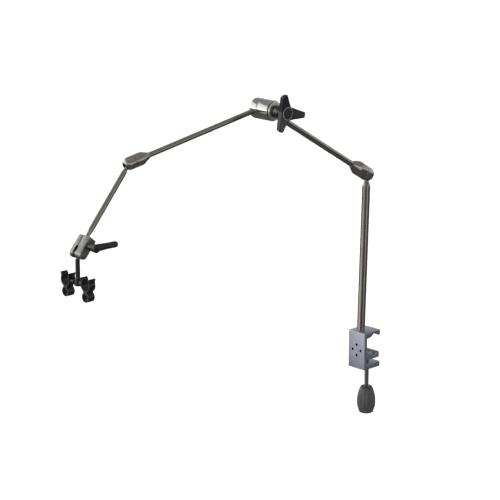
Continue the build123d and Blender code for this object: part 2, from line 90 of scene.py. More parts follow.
# Soft panels: direction they face from, where the light starts and is full (cosine), lower and
# upper edge (sine of the height) and brightness. The last one takes light from the band behind.
PANELS = (
    ((-0.39, -0.92, 0.0), 0.72, 0.93, -0.36, -0.15, 0.50),
    ((0.97, -0.03, 0.0), 0.90, 0.97, -0.38, -0.12, 0.56),
    ((-0.83, -0.55, 0.0), 0.55, 0.75, 0.0, 0.62, 0.52),
    ((0.15, 0.99, 0.0), 0.25, 0.60, 0.0, 0.10, -0.40),
)
CAMERA_AIM = Vector((-0.0169, -0.2505, 0.2180))
CAMERA_TURN, CAMERA_LIFT, CAMERA_DISTANCE = radians(46), radians(15), 3.3
FLOOR_HEIGHT, FLOOR_HALF = -0.9, 30
BANK_PLACE = Vector((-1.9, -2.6, 0.9))


def studio():
    level = cos(CAMERA_LIFT)
    back = Vector((sin(CAMERA_TURN) * level, -cos(CAMERA_TURN) * level, sin(CAMERA_LIFT)))
    camera = bpy.data.objects.new("camera", bpy.data.cameras.new("camera"))
    camera.data.lens = 144
    camera.data.sensor_width = 36
    camera.data.clip_end = 60
    camera.location = CAMERA_AIM + back * CAMERA_DISTANCE
    camera.rotation_euler = (-back).to_track_quat("-Z", "Y").to_euler()
    bpy.context.collection.objects.link(camera)
    bpy.context.scene.camera = camera

    bm = bmesh.new()
    bmesh.ops.create_grid(bm, x_segments=1, y_segments=1, size=FLOOR_HALF)
    floor = new_object("floor", bm, Matrix.Translation((0, 0, FLOOR_HEIGHT)))
    floor.data.materials.append(painted_backdrop())
    floor.visible_glossy = False

    overhead = bpy.data.objects.new("overhead", bpy.data.lights.new("overhead", "SUN"))
    overhead.data.energy = 2.2
    overhead.data.angle = radians(50)
    overhead.visible_glossy = False
    bpy.context.collection.objects.link(overhead)

    bank = bpy.data.objects.new("bank", bpy.data.lights.new("bank", "AREA"))
    bank.data.size = 1.8
    bank.data.energy = 60
    bank.location = BANK_PLACE
    bank.rotation_euler = (CAMERA_AIM - BANK_PLACE).to_track_quat("-Z", "Y").to_euler()
    bank.visible_glossy = False
    bpy.context.collection.objects.link(bank)
    studio_surround()
    bpy.context.scene.view_settings.view_transform = "Standard"


def studio_surround():
    """World light: band above the horizon, grey ceiling, dark ground and the soft panels."""
    world = bpy.data.worlds.new("studio")
    bpy.context.scene.world = world
    world.use_nodes = True
    tree = world.node_tree
    tree.nodes.clear()
    view = add(tree, "ShaderNodeTexCoord").outputs["Generated"]
    height = add(tree, "ShaderNodeSeparateXYZ", {"Vector": view}).outputs["Z"]
    upper = add(tree, "ShaderNodeValToRGB", {
        "Fac": add(tree, "ShaderNodeMapRange", {"Value": height, "From Min": -1.0}).outputs[0],
    })
    ramp = upper.color_ramp
    ramp.elements.remove(ramp.elements[-1])
    for index, (lift, level) in enumerate(SURROUND_LEVELS):
        stop = ramp.elements[0] if index == 0 else ramp.elements.new((lift + 1) / 2)
        stop.position = (lift + 1) / 2
        stop.color = (level, level, level, 1)
    total = upper.outputs["Color"]
    for toward, start, full, foot, head, level in PANELS:
        facing = add(tree, "ShaderNodeVectorMath", {0: view, 1: toward}, operation="DOT_PRODUCT")
        lit = add(tree, "ShaderNodeMapRange", {
            "Value": facing.outputs["Value"], "From Min": start, "From Max": full, "To Max": level,
        }, interpolation_type="SMOOTHSTEP").outputs[0]
        for edge, soft in ((foot, 0.05), (head, -0.05)):
            within = add(tree, "ShaderNodeMapRange", {
                "Value": height, "From Min": edge - soft, "From Max": edge + soft,
            }).outputs[0]
            lit = add(tree, "ShaderNodeMath", {0: lit, 1: within}, operation="MULTIPLY").outputs[0]
        total = add(tree, "ShaderNodeVectorMath", {0: total, 1: lit}, operation="ADD").outputs[0]
    shade = add(tree, "ShaderNodeBackground", {"Color": total, "Strength": SURROUND_STRENGTH})
    add(tree, "ShaderNodeOutputWorld", {"Surface": shade.outputs[0]})


# ---------------------------------------------------------------- materials
def linear(code):
    """sRGB hex to linear colour."""
    parts = [int(code[i:i + 2], 16) / 255 for i in (1, 3, 5)]
    return [p / 12.92 if p <= 0.04045 else ((p + 0.055) / 1.055) ** 2.4 for p in parts] + [1.0]


def add(tree, kind, inputs=None, **settings):
    """Add a node, set its properties, then set or link its inputs."""
    made = tree.nodes.new(kind)
    for key, value in settings.items():
        setattr(made, key, value)
    for key, value in (inputs or {}).items():
        if isinstance(value, bpy.types.NodeSocket):
            tree.links.new(value, made.inputs[key])
        else:
            made.inputs[key].default_value = value
    return made


def blank(name):
    material = bpy.data.materials.new(name)
    material.use_nodes = True
    tree = material.node_tree
    tree.nodes.clear()
    return material, tree


def mottled(tree, spacing_mm, low, high, detail=3.0, stretch=(1, 1, 1), turn=(0, 0, 0)):
    """Noise with the given spacing, mapped between two values; returns noise and its range."""
    place = add(tree, "ShaderNodeTexCoord")
    laid = add(tree, "ShaderNodeMapping", {
        "Vector": place.outputs["Object"], "Rotation": turn, "Scale": stretch,
    }, vector_type="TEXTURE")
    noise = add(tree, "ShaderNodeTexNoise", {
        "Vector": laid.outputs[0], "Scale": 1 / (spacing_mm * MM), "Detail": detail,
    })
    span = add(tree, "ShaderNodeMapRange", {
        "Value": noise.outputs["Fac"], "From Min": 0.3, "From Max": 0.7, "To Min": low, "To Max": high,
    })
    return noise, span


def tinted(tree, fac, first, second):
    mix = add(tree, "ShaderNodeMix", {"Factor": fac}, data_type="RGBA")
    mix.inputs[6].default_value = linear(first)
    mix.inputs[7].default_value = linear(second)
    return mix.outputs[2]


def surface(tree, **inputs):
    shader = add(tree, "ShaderNodeBsdfPrincipled", {k.replace("_", " "): v for k, v in inputs.items()})
    add(tree, "ShaderNodeOutputMaterial", {"Surface": shader.outputs[0]})


def painted_backdrop():
    material, tree = blank("painted_backdrop")
    tone = mottled(tree, 900, 0.0, 1.0)[1]
    surface(tree, Base_Color=tinted(tree, tone.outputs[0], "#f4f4f4", "#f7f7f7"), Roughness=0.9)
    return material


def bead_blasted_anodised_aluminium():
    """Extruded, bead blasted and clear anodised: an even blue-grey frost with faint draw lines."""
    material, tree = blank("bead_blasted_anodised_aluminium")
    fine, rough = mottled(tree, 1.2, 0.34, 0.42)
    tone = mottled(tree, 1.6, 0.0, 1.0, stretch=(20, 1, 1))[1]
    bump = add(tree, "ShaderNodeBump", {
        "Height": fine.outputs["Fac"], "Strength": 0.12, "Distance": 0.0002,
    })
    surface(
        tree, Base_Color=tinted(tree, tone.outputs[0], "#a7abb8", "#b0b4c0"), Metallic=1.0,
        Roughness=rough.outputs[0], Normal=bump.outputs[0],
    )
    return material


def satin_stainless(name, angle):
    """Belt-polished stainless tube: fine scratches along it, drawn coarse enough to show."""
    material, tree = blank(name)
    grain, rough = mottled(tree, 0.9, 0.14, 0.22, stretch=(1, 1, 30), turn=(angle - pi / 2, 0, 0))
    tone = mottled(tree, 22, 0.0, 1.0)[1]
    bump = add(tree, "ShaderNodeBump", {
        "Height": grain.outputs["Fac"], "Strength": 0.05, "Distance": 0.0001,
    })
    surface(
        tree, Base_Color=tinted(tree, tone.outputs[0], "#8d8883", "#97928d"), Metallic=1.0,
        Roughness=rough.outputs[0], Normal=bump.outputs[0],
    )
    return material


def lathe_turned_steel(name, base_first="#9a9590", base_second="#a49f9a"):
    """Lathe-turned steel, satin and faintly clouded: bare, burnished or black oxide by its colours; the
    dark copies also serve as painted shade in the clamp's holes and the hub's end groove.
    """
    material, tree = blank(name)
    grain, rough = mottled(tree, 2.0, 0.16, 0.24)
    tone = mottled(tree, 12, 0.0, 1.0)[1]
    bump = add(tree, "ShaderNodeBump", {
        "Height": grain.outputs["Fac"], "Strength": 0.05, "Distance": 0.0001,
    })
    surface(
        tree, Base_Color=tinted(tree, tone.outputs[0], base_first, base_second), Metallic=1.0,
        Roughness=rough.outputs[0], Normal=bump.outputs[0],
    )
    return material


def mirror_polished_stainless():
    """Buffed stainless drum: bright, with hairline swirls round its axis."""
    material, tree = blank("mirror_polished_stainless")
    rough = mottled(tree, 0.8, 0.07, 0.15, stretch=(1, 20, 20))[1]
    tone = mottled(tree, 15, 0.0, 1.0)[1]
    surface(
        tree, Base_Color=tinted(tree, tone.outputs[0], "#b4b1ad", "#bdbab6"), Metallic=1.0,
        Roughness=rough.outputs[0],
    )
    return material


def ring_painted_highlight():
    """Pale metal all round, paler than the polished drums: a painted highlight, so the ring reads as a
    light arc.
    """
    material, tree = blank("ring_painted_highlight")
    rough = mottled(tree, 1.0, 0.34, 0.46)[1]
    tone = mottled(tree, 9, 0.0, 1.0)[1]
    surface(
        tree, Base_Color=tinted(tree, tone.outputs[0], "#dddbd6", "#e6e4df"), Metallic=1.0,
        Roughness=rough.outputs[0],
    )
    return material


def ground_steel():
    """Surface-ground steel plates with a close directional grain."""
    material, tree = blank("ground_steel")
    grain, rough = mottled(tree, 0.9, 0.26, 0.40, stretch=(1, 12, 12))
    tone = mottled(tree, 8, 0.0, 1.0)[1]
    bump = add(tree, "ShaderNodeBump", {
        "Height": grain.outputs["Fac"], "Strength": 0.12, "Distance": 0.0001,
    })
    surface(
        tree, Base_Color=tinted(tree, tone.outputs[0], "#8b8a88", "#979694"), Metallic=1.0,
        Roughness=rough.outputs[0], Normal=bump.outputs[0],
    )
    return material


def zinc_plated_steel():
    """Bright zinc over machined steel: slightly blue and cloudy."""
    material, tree = blank("zinc_plated_steel")
    tone = mottled(tree, 3, 0.0, 1.0)[1]
    rough = mottled(tree, 1.0, 0.24, 0.38)[1]
    surface(
        tree, Base_Color=tinted(tree, tone.outputs[0], "#8f9092", "#a1a2a5"), Metallic=1.0,
        Roughness=rough.outputs[0],
    )
    return material


def turned_brass():
    """Free-cutting brass straight off the lathe."""
    material, tree = blank("turned_brass")
    tone = mottled(tree, 0.8, 0.0, 1.0, stretch=(1, 1, 10))[1]
    surface(
        tree, Base_Color=tinted(tree, tone.outputs[0], "#b58d43", "#c79f55"), Metallic=1.0,
        Roughness=0.28,
    )
    return material


def pressed_friction_fibre():
    """Resin-bonded fibre disc, brown and dry."""
    material, tree = blank("pressed_friction_fibre")
    tone = mottled(tree, 0.7, 0.0, 1.0, detail=6.0)[1]
    surface(tree, Base_Color=tinted(tree, tone.outputs[0], "#4a3527", "#7a5a42"), Roughness=0.85)
    return material


def moulded(name, first, second, low, high, grain_mm=0.9, relief=0.12):
    """Injection-moulded plastic with a spark-eroded grain and a soft edge shine."""
    material, tree = blank(name)
    grain, rough = mottled(tree, grain_mm, low, high, detail=4.0)
    tone = mottled(tree, 14, 0.0, 1.0)[1]
    bump = add(tree, "ShaderNodeBump", {
        "Height": grain.outputs["Fac"], "Strength": relief, "Distance": 0.0003,
    })
    surface(
        tree, Base_Color=tinted(tree, tone.outputs[0], first, second), Roughness=rough.outputs[0],
        IOR=1.5, Normal=bump.outputs[0],
    )
    return material


# ---------------------------------------------------------------- mesh helpers
# Edges that turn more than this many degrees stay sharp in the shading.
SHARP = 35


def new_object(name, bm, place, smooth_angle=SHARP):
    """Mesh object from a bmesh, its place written into the mesh."""
    bm.transform(place)
    mesh = bpy.data.meshes.new(name)
    bm.to_mesh(mesh)
    bm.free()
    mesh.shade_smooth()
    mesh.set_sharp_from_angle(angle=radians(smooth_angle))
    made = bpy.data.objects.new(name, mesh)
    bpy.context.collection.objects.link(made)
    return made


def rounded(points, radius, steps=4, closed=False):
    """Outline with its corners turned into arcs of up to the given radius."""
    count = len(points)
    result = []
    for index, here in enumerate(points):
        here = Vector(here)
        if not closed and index in (0, count - 1):
            result.append(tuple(here))
            continue
        before = Vector(points[index - 1]) - here
        after = Vector(points[(index + 1) % count]) - here
        opening = before.angle(after)
        if opening > radians(172):
            result.append(tuple(here))
            continue
        trim = min(radius / tan(opening / 2), 0.45 * before.length, 0.45 * after.length)
        bend = trim * tan(opening / 2)
        inward = (before.normalized() + after.normalized()).normalized()
        middle = here + inward * (bend / sin(opening / 2))
        first = here + before.normalized() * trim - middle
        last = here + after.normalized() * trim - middle
        for step in range(steps + 1):
            share = step / steps
            spoke = first.lerp(last, share).normalized() * bend
            result.append(tuple(middle + spoke))
    return result


def spun(name, outline, place, steps=64, closed=False, smooth_angle=SHARP):
    """Solid of revolution about the place's Z axis from (radius, height) points, in mm."""
    bm = bmesh.new()
    verts = [bm.verts.new((r, 0, z)) for r, z in outline]
    pairs = list(zip(verts, verts[1:])) + ([(verts[-1], verts[0])] if closed else [])
    edges = [bm.edges.new(pair) for pair in pairs]
    bmesh.ops.spin(
        bm, geom=verts + edges, cent=(0, 0, 0), axis=(0, 0, 1), angle=2 * pi, steps=steps,
        use_merge=True,
    )
    bmesh.ops.remove_doubles(bm, verts=bm.verts, dist=1e-5)
    bmesh.ops.recalc_face_normals(bm, faces=bm.faces)
    return new_object(name, bm, place, smooth_angle)


def extruded(outline, low, high, bevel=0.0, segments=3):
    """bmesh plate: (u, v) outline in the YZ plane, run along X, its edges bevelled."""
    bm = bmesh.new()
    verts = [bm.verts.new((low, u, v)) for u, v in outline]
    face = bm.faces.new(verts)
    grown = bmesh.ops.extrude_face_region(bm, geom=[face])
    moved = [g for g in grown["geom"] if isinstance(g, bmesh.types.BMVert)]
    bmesh.ops.translate(bm, verts=moved, vec=(high - low, 0, 0))
    bmesh.ops.recalc_face_normals(bm, faces=bm.faces)
    if bevel:
        sharp = [e for e in bm.edges if e.calc_face_angle(0) > radians(30)]
        bmesh.ops.bevel(
            bm, geom=sharp, offset=bevel, offset_type="OFFSET", affect="EDGES", segments=segments,
            profile=0.5, material=-1, clamp_overlap=True,
        )
    return bm


def drum(radius, low, high, place, name="cutter", steps=48):
    """Plain capped cylinder along the place's Z, used to cut."""
    bm = bmesh.new()
    bmesh.ops.create_cone(
        bm, cap_ends=True, segments=steps, radius1=radius, radius2=radius, depth=high - low,
        matrix=Matrix.Translation((0, 0, (low + high) / 2)),
    )
    return new_object(name, bm, place)


def brick(x, y, z, place, name="cutter"):
    """Box between the given pairs of limits."""
    bm = bmesh.new()
    bmesh.ops.create_cube(bm, size=1)
    size = Vector([high - low for low, high in (x, y, z)])
    middle = Vector([(high + low) / 2 for low, high in (x, y, z)])
    spread = Matrix.Translation(middle) @ Matrix.Diagonal(size).to_4x4()
    bmesh.ops.transform(bm, verts=bm.verts, matrix=spread)
    return new_object(name, bm, place)


def carve(piece, *cutters, operation="DIFFERENCE"):
    """Apply exact booleans, then drop the cutters."""
    for cutter in cutters:
        cut = piece.modifiers.new("cut", "BOOLEAN")
        cut.operation = operation
        cut.solver = "EXACT"
        cut.object = cutter
    settle(piece)
    for cutter in cutters:
        bpy.data.objects.remove(cutter)
    return piece


def settle(piece, smooth_angle=SHARP):
    """Write the piece's modifiers into its mesh."""
    bpy.context.view_layer.update()
    graph = bpy.context.evaluated_depsgraph_get()
    mesh = bpy.data.meshes.new_from_object(piece.evaluated_get(graph))
    piece.modifiers.clear()
    piece.data = mesh
    mesh.shade_smooth()
    mesh.set_sharp_from_angle(angle=radians(smooth_angle))
    return piece


def fit(piece, body, nodes, material):
    """Hang a finished piece on its body in place of its CAD nodes."""
    piece.data.materials.clear()
    piece.data.materials.append(material)
    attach(piece, body)
    if nodes:
        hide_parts(*nodes)
    return piece


# ---------------------------------------------------------------- rail clamp
CLAMP_HALF = 19
SCREW_Y = 20
HOLE_R = 2.1
HOLE_RING, HOLE_MIDDLE_Z = 9.5, -5.5
PLATE_FACE = -7
THREAD_PITCH, THREAD_MAJOR, THREAD_ROOT, THREAD_TURNS, THREAD_FOOT = 1.25, 4.0, 3.4, 76, -121
FLUTES, FLUTE_DIP = 14, 0.06
POST_R, POST_FOOT, POST_SHOULDER, POST_CUT_Z = 7, -280.3, -14.1, 28


def clamp_frame(material, hole_painted_shade):
    """C-shaped extrusion with softened corners, a screw bore and four plate holes whose walls carry a
    dark material as painted shade.
    """
    outline = [
        (PLATE_FACE, -39.5), (33, -39.5), (33, -30), (-0.4, -30), (-0.4, -2), (0, -1.6), (0, 17.5),
        (6, 17.5), (12, 19.5), (16.5, 24), (29, 18.5), (33, 18.5), (33, 28), (PLATE_FACE, 28),
    ]
    bm = extruded(rounded(outline, 1.0, closed=True), -CLAMP_HALF, CLAMP_HALF, bevel=0.8)
    piece = new_object("clamp_frame", bm, ON_FRAME)
    cutters = []
    compass = ((1, 0), (-1, 0), (0, 1), (0, -1))
    axes = [(x * HOLE_RING, HOLE_MIDDLE_Z + z * HOLE_RING) for x, z in compass]
    hole = [(0, -3), (HOLE_R, -3), (HOLE_R, 5.6), (2.55, 6.05), (2.55, 9), (0, 9)]
    for x, z in axes:
        place = ON_FRAME @ Matrix.Translation((x, -1, z)) @ Matrix.Rotation(pi / 2, 4, "X")
        cutters.append(spun("cutter", hole, place, steps=32))
    bore = [(0, -45), (4.6, -45), (4.6, -39), (4.1, -38.4), (4.1, -28), (0, -28)]
    cutters.append(spun("cutter", bore, ON_FRAME @ Matrix.Translation((0, SCREW_Y, 0)), steps=48))
    grub = Matrix.Translation((-CLAMP_HALF, 3.5, 24)) @ Matrix.Rotation(pi / 2, 4, "Y")
    cutters.append(drum(2.05, -1, 5, ON_FRAME @ grub, steps=32))
    carve(piece, *cutters)
    fit(piece, "base", ["clamp_body"], material)
    # Second material on the plate holes' walls: painted shade inside the holes.
    piece.data.materials.append(hole_painted_shade)
    for face in piece.data.polygons:
        x, y, z = face.center / MM
        away = min(Vector((x - u, z - v)).length for u, v in axes)
        if away < HOLE_R + 0.2 and PLATE_FACE + 0.1 < y < 0:
            face.material_index = 1


def sliding_jaw(material):
    """Lower jaw with its V groove."""
    outline = [
        (0.3, -22), (31, -22), (31, -11.5), (27, -11.5), (18.5, -16), (10, -8.5), (0.3, -8.5),
    ]
    bm = extruded(rounded(outline, 0.8, closed=True), -CLAMP_HALF, CLAMP_HALF, bevel=0.4)
    piece = new_object("sliding_jaw", bm, ON_FRAME)
    carve(piece, drum(5.5, -18.5, 0, ON_FRAME @ Matrix.Translation((0, SCREW_Y, 0))))
    fit(piece, "jaw", ["clamp_jaw"], material)


def jack_screw(material):
    """Rolled M8 thread with a plain journal under the jaw."""
    steps = 32
    root, major = THREAD_ROOT, THREAD_MAJOR
    flank = [(root, 0), (root, 0.15), (major, 0.55), (major, 0.75), (root, 1.15), (root, THREAD_PITCH)]
    bm = bmesh.new()
    verts = [bm.verts.new((r, 0, z)) for r, z in flank]
    edges = [bm.edges.new(pair) for pair in zip(verts, verts[1:])]
    bmesh.ops.spin(
        bm, geom=verts + edges, cent=(0, 0, 0), axis=(0, 0, 1), angle=2 * pi * THREAD_TURNS,
        steps=steps * THREAD_TURNS, dvec=(0, 0, THREAD_PITCH / steps), use_merge=False,
    )
    bmesh.ops.remove_doubles(bm, verts=bm.verts, dist=1e-3)
    bmesh.ops.holes_fill(bm, edges=bm.edges, sides=0)
    bmesh.ops.recalc_face_normals(bm, faces=bm.faces)
    place = ON_FRAME @ Matrix.Translation((0, SCREW_Y, THREAD_FOOT))
    piece = new_object("jack_screw", bm, place, smooth_angle=25)
    fit(piece, "screw", [], material)
    journal = [
        (0, -26), (3.3, -26), (3.3, -22.1), (3, -22.1), (3, -18.4), (2.4, -18.4), (2.4, -17.6),
        (3, -17.6), (3, -16.9), (0, -16.9),
    ]
    plain = spun("screw_journal", journal, ON_FRAME @ Matrix.Translation((0, SCREW_Y, 0)), steps=40)
    fit(plain, "screw", ["clamp_screw"], material)


def barrel_grip(material):
    """Fat moulded barrel with shallow flutes between two plain rims."""
    low, top = -126.5, -78.0
    outline = [
        (0, low), (11.2, low), (12.2, low + 0.4), (12.9, low + 1.4), (13.1, low + 2.6), (12.7, low + 3.1),
    ]
    belly = interpolate_bezier((13.4, low + 3.8), (14.9, low + 8), (16.4, low + 13), (16.4, low + 19), 10)
    neck = interpolate_bezier((16.4, low + 19), (16.4, low + 30), (13.8, low + 40), (11.0, top - 2.8), 14)
    outline += [(point[0], point[1]) for point in belly[:-1] + neck]
    outline += [(10.3, top - 2.2), (10.5, top - 1.4), (9.9, top - 0.5), (8.8, top), (4.3, top)]
    outline += [(4.3, top - 6), (0, top - 6)]
    piece = spun("barrel_grip", outline, ON_FRAME @ Matrix.Translation((0, SCREW_Y, 0)), steps=112)
    for vert in piece.data.vertices:
        height = vert.co.z / MM
        fade = min(1, max(0, (height - low - 4.4) / 5)) * min(1, max(0, (top - 4 - height) / 6))
        turn = atan2(vert.co.y - SCREW_Y * MM, vert.co.x)
        dip = 1 - FLUTE_DIP * fade * max(0, cos(FLUTES * turn)) ** 1.5
        vert.co.x *= dip
        vert.co.y = SCREW_Y * MM + (vert.co.y - SCREW_Y * MM) * dip
    fit(piece, "screw", ["clamp_grip"], material)


# ---------------------------------------------------------------- post, balls, elbows
def holding_post(material):
    """Leaning post with a rounded shoulder, cut level where it meets the clamp."""
    foot, seat = POST_FOOT - 2, POST_SHOULDER
    corners = [(0, foot), (POST_R, foot), (POST_R, seat - 6.5), (4.6, seat), (0, seat)]
    outline = rounded(corners, 1.2, steps=5)
    piece = spun("holding_post", outline, ON_POST, steps=72)
    mesh = bmesh.new()
    mesh.from_mesh(piece.data)
    cut = bmesh.ops.bisect_plane(
        mesh, geom=mesh.verts[:] + mesh.edges[:] + mesh.faces[:], dist=1e-7,
        plane_co=(0, 0, POST_CUT_Z * MM), plane_no=(0, 0, -1), clear_outer=True,
    )
    rim = [g for g in cut["geom_cut"] if isinstance(g, bmesh.types.BMEdge)]
    bmesh.ops.contextual_create(mesh, geom=rim)
    mesh.to_mesh(piece.data)
    mesh.free()
    piece.data.set_sharp_from_angle(angle=radians(SHARP))
    fit(piece, "base", ["post"], material)


def ball_outline(radius, neck, end):
    """Half outline of a ball whose neck runs down to a shoulder."""
    start = degrees(atan2(neck, -(radius ** 2 - neck ** 2) ** 0.5))
    points = [(0, radius)]
    count = 20
    for index in range(1, count + 1):
        turn = radians(start * index / count)
        points.append((radius * sin(turn), radius * cos(turn)))
    points += [(neck, -end + 0.5), (neck - 0.5, -end), (0, -end)]
    return points


def ball_studs(material):
    """The three joint balls: radius of ball and neck, and how far down the shoulder lies."""
    flip = Matrix.Rotation(pi, 4, "X")
    for name, node, body, place, radius, neck, end in (
        ("elbow_ball", "lower_ball", "lower_stud", ON_POST, 8.5, 4.0, 14.3),
        ("tip_elbow_ball", "tip_ball", "tip_stud", ON_TIP @ flip, 7.0, 3.2, 12.2),
        ("stem_top_ball", "stem_ball", "stem_stud", ON_STEM, 5.5, 2.7, 9.2),
    ):
        piece = spun(name, ball_outline(radius, neck, end), place, steps=48)
        fit(piece, body, [node], material)


def arc(radius, start, end, count, centre=0.0):
    """(radius, height) points on a circle about the axis, angles from the axis' top."""
    spread = [radians(start + (end - start) * index / count) for index in range(count + 1)]
    return [(radius * sin(turn), centre + radius * cos(turn)) for turn in spread]


# Radius of housing, ball and tube; stations of seam, shoulder and end; half slot; slot's side.
ELBOWS = {
    "lower": (12.5, 8.5, 5.25, 12, 29, 45, 4.5, -1),
    "upper": (10.5, 7.0, 4.25, 8, 25.5, 40, 3.8, 1),
}


def elbow(prefix, place, material, seam_material):
    """Round-nosed cap with a neck slot, and the housing that cones down to the tube."""
    housing, ball, tube, seam, shoulder, end, half, side = ELBOWS[prefix]
    body, seat = prefix + "_arm", ball + 0.15
    edge = [(housing, seam - 0.7), (housing - 0.35, seam - 0.25), (housing - 0.8, seam - 0.25)]
    hollow = [(ball + 1.6, seam - 0.25), (seat, seam - 2)] + arc(seat, 90, 180, 16)
    cap = spun(prefix + "_nose", arc(housing, 180, 90, 22) + edge + hollow, place, steps=72)
    reach = housing + 3
    slot = brick((-half, half), sorted((0, side * reach)), (-reach, 0), place)
    nose_end = drum(half, -reach, 0, place, steps=40)
    across = place @ Matrix.Rotation(-side * pi / 2, 4, "X")
    carve(cap, slot, nose_end, drum(half, 0, reach, across, steps=40))
    fit(cap, body, [prefix + "_socket_cap"], material)

    shell = [(0, seam + 0.3), (housing - 0.8, seam + 0.3), (housing - 0.35, seam + 0.3)]
    shell += [(housing, seam + 0.7), (housing, shoulder - 0.5), (housing - 0.25, shoulder + 0.25)]
    shell += [(tube + 1.0, end - 0.6), (tube + 0.6, end), (tube - 0.2, end), (0, end)]
    back = spun(prefix + "_housing", shell, place, steps=72)
    fit(back, body, [prefix + "_socket"], material)
    ring = [(0, seam - 1), (housing - 0.9, seam - 1), (housing - 0.9, seam + 1), (0, seam + 1)]
    fit(spun(prefix + "_seam", ring, place, steps=64), body, [], seam_material)


# ---------------------------------------------------------------- centre hub and star knob
HUB_R, HUB_EDGE = 17, 1.2
HUB_FAR, HUB_SPLIT, HUB_NEAR = -26.8, -11, 14
SPLIT_GAP = 0.15


def hub_drums(polished, bright, satin, dark):
    """Two polished drums with a fine split, then a dark groove that is painted shade, the end ring in a
    paler metal as a painted highlight, the neck and its washer.
    """
    start, stop = HUB_SPLIT + SPLIT_GAP, HUB_SPLIT - SPLIT_GAP
    near = rounded([(0, start), (HUB_R, start), (HUB_R, HUB_NEAR), (0, HUB_NEAR)], HUB_EDGE, steps=4)
    far = rounded([(0, HUB_FAR), (HUB_R, HUB_FAR), (HUB_R, stop), (0, stop)], HUB_EDGE, steps=4)
    groove = [(0, 13.9), (14.7, 13.9), (14.7, 16.2), (0, 16.2)]
    ring = rounded([(0, 15.9), (15.6, 15.9), (15.6, 16.6), (14.4, 18), (0, 18)], 0.4, steps=4)
    sleeve = rounded([(0, 18), (10.6, 18), (10.6, 31.3), (0, 31.3)], 0.5, steps=3)
    washer = rounded([(0, 31.3), (9.5, 31.3), (9.5, 32.7), (0, 32.7)], 0.3, steps=3)
    for name, outline, body, nodes, slot, material in (
        ("hub_near_drum", near, "lower_arm", ["hub_near"], "polished_stainless", polished),
        ("hub_far_drum", far, "upper_arm", ["hub_far"], "polished_stainless", polished),
        # The groove between drum and ring is filled with dark steel: painted shade in the groove.
        ("hub_end_groove", groove, "lower_arm", [], "machined_steel", dark),
        # The end ring is polished stainless given a paler metal: painted highlight.
        ("hub_end_ring", ring, "lower_arm", ["hub_ring"], "polished_stainless", bright),
        ("knob_neck", sleeve, "lower_arm", ["knob_sleeve"], "machined_steel", dark),
        ("knob_thrust_washer", washer, "lower_arm", ["knob_washer"], "machined_steel", satin),
    ):
        fit(spun(name, outline, ACROSS_HUB, steps=96), body, nodes, material)


def moulded_form(name, parts, voxel, rounds):
    """Join overlapping closed solids into one moulding with softened edges and inner corners."""
    bpy.ops.object.select_all(action="DESELECT")
    for part in parts:
        part.select_set(True)
    bpy.context.view_layer.objects.active = parts[0]
    bpy.ops.object.join()
    piece = bpy.context.view_layer.objects.active
    piece.name = name
    remesh = piece.modifiers.new("skin", "REMESH")
    remesh.mode = "VOXEL"
    remesh.voxel_size = voxel * MM
    soften = piece.modifiers.new("soften", "SMOOTH")
    soften.factor = 0.5
    soften.iterations = rounds
    settle(piece, smooth_angle=60)
    piece.select_set(False)
    return piece


LOBE_ANGLES = (-10, 110, 230)
LOBE_TIP, LOBE_TIP_HALF, LOBE_ROOT_R, LOBE_CORNER = 33.3, 4.6, 12.0, 1.8
LOBE_FRONT, LOBE_FRONT_SWEEP = 44.2, 8.2
LOBE_BACK, LOBE_BACK_SWEEP = 36.0, 8.4
COVER_R = 11.1


def knob_lobe(turn):
    """One lobe: a tapering tongue that sweeps forward as it leaves the middle."""
    tip, tip_half, root_r = LOBE_TIP, LOBE_TIP_HALF, LOBE_ROOT_R
    lean = atan2(root_r - tip_half, tip)
    count = 12
    outline = rounded([(0, -root_r), (tip, -tip_half), (tip, tip_half), (0, root_r)], LOBE_CORNER)[1:-1]
    for index in range(count + 1):
        spread = pi / 2 - lean + (pi + 2 * lean) * index / count
        outline.append((root_r * cos(spread), root_r * sin(spread)))
    bm = bmesh.new()
    face = bm.faces.new([bm.verts.new((u, v, 0)) for u, v in outline])
    grown = bmesh.ops.extrude_face_region(bm, geom=[face])
    top = [g for g in grown["geom"] if isinstance(g, bmesh.types.BMVert)]
    bmesh.ops.translate(bm, verts=top, vec=(0, 0, 1))
    for distance in (6, 13, 20, 27):
        bmesh.ops.bisect_plane(
            bm, geom=bm.verts[:] + bm.edges[:] + bm.faces[:], dist=1e-5, plane_co=(distance, 0, 0),
            plane_no=(1, 0, 0),
        )
    for vert in bm.verts:
        share = max(0, min(1, vert.co.x / tip))
        front = LOBE_FRONT + LOBE_FRONT_SWEEP * share ** 1.35
        back = LOBE_BACK + LOBE_BACK_SWEEP * share ** 1.4
        vert.co.z = front if vert.co.z > 0.5 else back
    bmesh.ops.recalc_face_normals(bm, faces=bm.faces)
    place = Matrix.Translation(HUB) @ Matrix.Rotation(turn, 4, "X") @ Matrix.Scale(MM, 4)
    swap = Matrix(((0, 0, 1, 0), (1, 0, 0, 0), (0, 1, 0, 0), (0, 0, 0, 1)))
    return new_object("lobe", bm, place @ swap)


